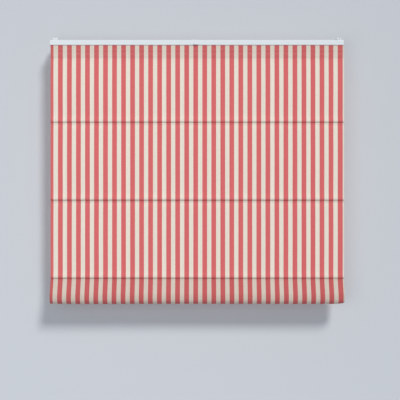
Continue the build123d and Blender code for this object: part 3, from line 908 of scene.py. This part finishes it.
def no_bulge(x, z):
    """A pocket is held to its rod and doesn't bulge."""
    return 0 * x * z


for number, level in enumerate(tuck_levels, start=1):
    path, along = walk((neck_front, level + neck_half), 0, round_the_rod)
    plain = np.zeros(len(path))
    pocket = cloth_mesh(f"rod_pocket_{number}", [
        grid(path, along, pocket_columns, pocket_columns, flush, plain, plain, no_bulge, plain),
    ])
    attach(pocket, f"rod_{number}")
    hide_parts("fabric_panel")
print("pocket line", round(along[-1] / mm, 1), "mm long")

# %% [markdown]
# ## The path of the bottom loop
# Below the last tuck the cloth leans out, curves under and comes up behind to the hem. A free curve would
# look as good in front, but the pocket has to close round the flat bar, so its sides are measured from it.

# %% Draw the loop and the pocket of the bar
hem_low, hem_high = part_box("bottom_bar")
loop_start = (cloth_plane + lip_radius * mm, tuck_levels[2] - neck_half)
lean = 21
loop_moves = [("bend", lip_radius, 90 - lean), ("run", 51), ("bend", 40, lean), ("run", 2.6),
              ("bend", 20, 211.5), ("bend", 20, -28)]
pocket_top_radius = 2.45
bar_top_corner = 1.45 * mm
into_pocket = [("bend", 2.2, -67.9), ("bend", 2.2, 64.4)]
before_pocket, _ = walk(loop_start, 180, loop_moves + into_pocket)
side_run = (hem_high.z - bar_top_corner - before_pocket[-1][1]) / mm
round_the_bar = [("run", side_run), ("bend", pocket_top_radius, 180), ("run", side_run)]
closing = [("bend", 2.2, 53), ("bend", 2.2, -53), ("run", 5)]
loop_path, loop_along = walk(loop_start, 180, loop_moves)
path, along = walk(loop_start, 180, loop_moves + into_pocket + round_the_bar + closing)
print("loop", round(loop_along[-1], 4), "m, with pocket", round(along[-1], 4), "m")

# %% [markdown]
# ## The bottom loop
# When the hem is let down the loop opens. It could bend at one place, but cloth gives a little everywhere,
# so its ease, its share of that travel, rises evenly along it. The side turn draws in its right lower
# corner.

# %% Sew the loop
loop_uneven = 0.8
corner_pull = 2.8
corner_width = 28 * mm
# Painted shade on the loop: darker all over, more in the crease just under the last tuck, and more again
# towards its foot, where it curves under.
loop_shade = 0.40
lip_shade = 0.20
foot_shade = 0.07


def loop_bulge(x, z):
    """Slow unevenness of the loop, less at its top, and the corner drawn in below the bar."""
    loose = np.clip((tuck_levels[2] - 0.01 - z) / 0.05, 0, 1)
    below_bar = ramp(-z, 0.004 - hem_low.z, 0.024 - hem_low.z)
    corner = ramp(x, cloth_right - corner_width, cloth_right) * below_bar
    return (loop_uneven * waves(x, 0 * z, 5) * loose - corner_pull * corner) * mm


ease = np.clip(along / loop_along[-1], 0, 1)
painted_shade = loop_shade + lip_shade * near(along, 0.006) + foot_shade * ramp(along, 0.045, 0.065)
loop_rows = (rows_in_lip + 1, len(loop_path))
loop = cloth_mesh("cloth_bottom_loop", dressed_grids(path, along, ease, painted_shade, loop_bulge, loop_rows))
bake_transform(loop)
take_ease(loop)
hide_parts("fabric_panel", "fabric_red_stripes")
loop_cloth = (path, along, ease, loop_bulge)

# %% [markdown]
# ## Thread and cord
# Sewing thread and lift cord are twisted or braided. Real strands would cost many faces for something so
# thin, so both are plain tubes with a fine diagonal pattern, made by the crossing threads turned on the
# slant.

# %% Mix the finishes of thread and cord


def thread_finish(name, colour, per_metre, slant, bump_depth):
    """Twisted thread or braided cord. per_metre counts strands, and slant leans them, in degrees."""
    material, tree, shader = new_material(name)
    flat = add_node(tree, "UVMap")
    flat.uv_map = flat_map
    leaning = add_node(tree, "Mapping")
    leaning.inputs["Rotation"].default_value = (0, 0, math.radians(slant))
    feed(tree, leaning.inputs["Vector"], flat.outputs[0])
    strands = place_group(tree, crossing, Vector=leaning.outputs[0], Warp_Per_Metre=per_metre,
                          Weft_Per_Metre=per_metre)
    yarn = place_group(tree, uneven, Vector=flat.outputs[0], Streak=0.1, Slub=0.1)
    # Painted shade: the hollows between the strands are darker.
    hollow_shade = sums(tree, "MULTIPLY_ADD", strands.outputs["Height"], 0.3, 0.75)
    tinted(tree, shader, colour, sums(tree, "MULTIPLY", hollow_shade, yarn.outputs["Shade"]))
    embossed(tree, shader, strands.outputs["Height"], 0.8, bump_depth)
    feed_all(tree, shader, Roughness=0.55, Sheen_Weight=0.1)
    return material


cord_braid = thread_finish("braided lift cord", (0.80, 0.80, 0.76), 2200, 45, 0.0002)
sewing_thread = thread_finish("sewing thread", (0.80, 0.76, 0.68), 5200, 35, 0.00008)
print("thread finishes:", cord_braid.name, "/", sewing_thread.name)

# %% [markdown]
# ## Round threads as mesh
# A bevelled curve is the usual way to make a cord, but each stitch would need its own. This helper makes
# any number of round runs as one mesh: it carries a ring of points along each without letting it twist.

# %% Helper: round threads


def thread_mesh(name, runs, sides, material):
    """One mesh of round threads. A run is its points, their radius and their ease."""
    points, faces, flats, eases, first = [], [], [], [], 0
    turns = np.arange(sides)
    angle = 2 * np.pi * turns / sides
    for line, radius, ease in runs:
        line = np.asarray(line, float)
        count = len(line)
        radius, ease = np.broadcast_to(radius, count), np.broadcast_to(ease, count)
        forward = np.gradient(line, axis=0)
        forward /= np.linalg.norm(forward, axis=1)[:, None]
        lengths = np.concatenate([[0], np.cumsum(np.linalg.norm(np.diff(line, axis=0), axis=1))])
        side = np.cross(forward[0], (0.31, 0.27, 0.91))
        for place, way, thick in zip(line, forward, radius):
            side = side - way * side.dot(way)
            side /= np.linalg.norm(side)
            other = np.cross(way, side)
            points.append(place + thick * (np.cos(angle)[:, None] * side + np.sin(angle)[:, None] * other))
        eases.append(np.repeat(ease, sides))
        for k in range(count - 1):
            low, high = first + k * sides, first + (k + 1) * sides
            for n in range(sides):
                after = (n + 1) % sides
                faces.append((low + n, low + after, high + after, high + n))
                left = n * 2 * np.pi * radius[k] / sides
                right = (n + 1) * 2 * np.pi * radius[k] / sides
                flats += [(left, lengths[k]), (right, lengths[k])]
                flats += [(right, lengths[k + 1]), (left, lengths[k + 1])]
        faces.append(tuple(first + turns[::-1]))
        faces.append(tuple(first + (count - 1) * sides + turns))
        flats += [(0, 0)] * (2 * sides)
        first += count * sides
    return textile(name, points, faces, flats, {"ease": eases}, [material])


print("thread helper ready")

# %% [markdown]
# ## The lift cords
# Three cords draw the hem up. Each has a few turns on its spool and ends in a knot under the last bead. One
# long tube would do at rest, but each stretch between two rods shortens as they rise, so each is a piece of
# its own.

# %% String the lift cords
cord_radius = 0.7 * mm
cord_sides = 10
points_per_stretch = 24
turns_on_spool = 3
knot_radius = 1.0 * mm
knot_pitch = 0.12 * mm
shaft_low, shaft_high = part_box("drive_shaft")
shaft_y = (shaft_low.y + shaft_high.y) / 2
shaft_z = (shaft_low.z + shaft_high.z) / 2
coil_angles = np.radians(np.arange(turns_on_spool * 360 - 60, -1, -12))
knot_angles = np.linspace(0, 4 * math.pi, 40)


def cord_coil(x, radius):
    """The turns on the spool, side by side, up to where the cord leaves it."""
    beside = cord_radius / math.pi
    return [(x - beside * a, shaft_y + radius * math.cos(a), shaft_z + radius * math.sin(a))
            for a in coil_angles[:-1]]


def cord_end(x, y, z):
    """The knot at the cord's lower end and the tail that comes out of it."""
    knot = [(x + knot_radius * math.cos(a), y + knot_radius * math.sin(a), z - knot_radius - knot_pitch * a)
            for a in knot_angles]
    tail = [(x + 0.2 * mm, y, z - below * mm) for below in (-1, 0, 1, 2, 3)]
    return [(knot, cord_radius * 0.95, 1.0), (tail, cord_radius * np.array([1, 1, 1, 1, 1.15]), 1.0)]


for side in ("left", "centre", "right"):
    stop_low, stop_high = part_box(f"cord_stop_{side}")
    cord_x = (stop_low.x + stop_high.x) / 2
    cord_y = (stop_low.y + stop_high.y) / 2
    coil_radius = cord_y - shaft_y
    stops = [shaft_z, *tuck_levels, stop_low.z]
    for n in range(4):
        top, bottom = stops[n], stops[n + 1]
        line = [(cord_x, cord_y, z) for z in np.linspace(top, bottom, points_per_stretch)]
        ease = np.linspace(0, 1, points_per_stretch)
        if n == 0:
            coil = cord_coil(cord_x, coil_radius)
            line = coil + line
            ease = np.concatenate([np.zeros(len(coil)), ease])
        runs = [(line, cord_radius, ease)]
        if n == 3:
            runs += cord_end(cord_x, cord_y, bottom)
        cord = thread_mesh(f"lift_cord_{side}_{n + 1}", runs, cord_sides, cord_braid)
        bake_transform(cord)
        take_ease(cord)
        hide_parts(f"lift_cord_{side}")
    wound = turns_on_spool * 2 * math.pi * coil_radius
    print("cord", side, "runs", round(stops[0] - stops[-1], 4), "m, with", round(wound, 4), "m wound")

# %% [markdown]
# ## Stitching
# Heading, tape, side turns and the bar's pocket are sewn. A bump could draw dashes, but real stitches catch
# the light. Each is a short thread that dips into the cloth at both ends and takes its place and ease from
# it.

# %% Helpers: rows of stitches
stitch_radius = 0.2 * mm
stitch_rise = np.array([-0.25, 0.16, 0.26, 0.16, -0.25]) * mm
stitch_points = len(stitch_rise)


def stitches(cloth, at, xs, inner, layers=0.0):
    """Threads on one face of the cloth, from places along its path and across it.

    inner is 1 for the back and -1 for the front; layers is the cloth between the path and the thread.
    """
    path, along, ease, bulge = cloth
    side = inner_side(path)
    ys, zs = np.interp(at, along, path[:, 0]), np.interp(at, along, path[:, 1])
    side_y, side_z = np.interp(at, along, side[:, 0]), np.interp(at, along, side[:, 1])
    rise = np.tile(stitch_rise, len(xs) // stitch_points) + cloth_thickness / 2 + layers
    push = inner * rise - bulge(xs, zs)
    places = np.stack([xs, ys + side_y * push, zs + side_z * push], axis=1)
    eases = np.interp(at, along, ease)
    ends = range(stitch_points, len(xs) + 1, stitch_points)
    return [(places[n - stitch_points:n], stitch_radius, eases[n - stitch_points:n]) for n in ends]


def row_across(cloth, at, inner, pitch=3.8, length=2.7, margin=6):
    """Stitches side by side across the cloth at one distance along the path."""
    ends = (cloth_left + margin * mm, cloth_right - margin * mm)
    starts = np.arange(*ends, pitch * mm)
    xs = (starts[:, None] + np.linspace(0, length * mm, stitch_points)[None, :]).ravel()
    return stitches(cloth, np.full(len(xs), at), xs, inner)


def rows_along(cloth, start, end, pitch=7.5, length=3.2, lean_x=1.2):
    """Slanting stitches down both turned sides of the cloth."""
    starts = np.arange(start, end - length * mm, pitch * mm)
    at = (starts[:, None] + np.linspace(0, length * mm, stitch_points)[None, :]).ravel()
    made = []
    for side, edge in ((1, cloth_left), (-1, cloth_right)):
        x = edge + side * (hem_return - 0.6 * mm)
        slant = np.linspace(-lean_x * side, lean_x * side, stitch_points) * mm
        xs = np.tile(x + slant, len(starts))
        made += stitches(cloth, at, xs, 1, 2 * hem_fold - 0.2 * mm)
    return made


print("a stitch has", stitch_points, "points")

# %% [markdown]
# ## Sewing the rows
# The heading has a row under its top fold and one along each edge of the tape, and one row closes the bar's
# pocket. Each row could be a piece of its own, but one for each stretch of cloth is enough.

# %% Sew the rows
heading_rows = (2.2, 14.2, 29.0)
pocket_row = loop_along[-1] - 1.5 * mm
thread_sides = 5


def finish_seam(name, runs):
    """Make the rows one piece of thread and bake its place."""
    seam = thread_mesh(name, runs, thread_sides, sewing_thread)
    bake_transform(seam)
    take_ease(seam)


for number in (1, 2, 3):
    cloth = section_paths[number]
    runs = []
    if number == 1:
        for below_top in heading_rows:
            runs += row_across(cloth, below_top * mm, -1)
    runs += rows_along(cloth, *section_hems[number])
    finish_seam(f"stitching_section_{number}", runs)
runs = row_across(loop_cloth, pocket_row, 1)
runs += rows_along(loop_cloth, 0.012, loop_along[-1] - 0.006)
finish_seam("stitching_loop", runs)
print("stitched", len(section_paths) + 1, "pieces")
